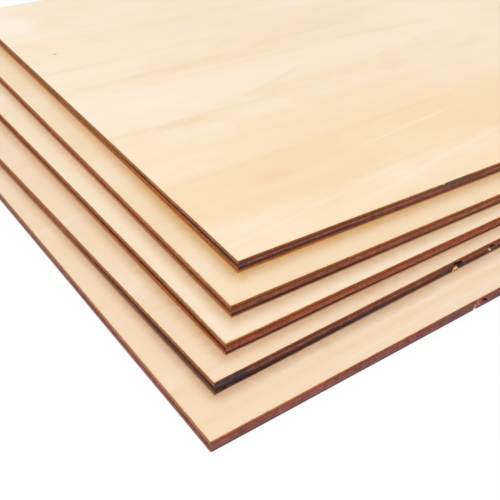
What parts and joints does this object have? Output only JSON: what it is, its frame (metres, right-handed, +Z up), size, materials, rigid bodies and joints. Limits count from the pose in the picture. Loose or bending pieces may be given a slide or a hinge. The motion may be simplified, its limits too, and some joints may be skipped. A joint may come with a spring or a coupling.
{
  "type": "stack of plywood sheets",
  "caption": "Fanned stack of thin three-ply plywood sheets with dark laser-cut edges, each set back and slightly turned on the one below, lying flat.",
  "frame": {"origin": "centre of the bottom sheet's underside, on the surface that the stack lies on", "axes": "+X along the bottom sheet's length, the way its face grain runs; +Y across its width, away from the near corner at its lowest X and Y; +Z up"},
  "size_m": [0.3348, 0.23, 0.015],
  "materials": {
    "face_veneer": "sanded pale veneer with burnt edges",
    "burnt_core": "charred laser-cut edge of the cross-grain core",
    "back_veneer": "sanded pale veneer with burnt edges"
  },
  "bodies": {
    "root": {"sheet_1_back_veneer": "back_veneer", "sheet_1_core": "burnt_core", "sheet_1_face_veneer": "face_veneer", "sheet_2_back_veneer": "back_veneer", "sheet_2_core": "burnt_core", "sheet_2_face_veneer": "face_veneer", "sheet_3_back_veneer": "back_veneer", "sheet_3_core": "burnt_core", "sheet_3_face_veneer": "face_veneer", "sheet_4_back_veneer": "back_veneer", "sheet_4_core": "burnt_core", "sheet_4_face_veneer": "face_veneer", "sheet_5_back_veneer": "back_veneer", "sheet_5_core": "burnt_core", "sheet_5_face_veneer": "face_veneer"}
  },
  "joints": []
}
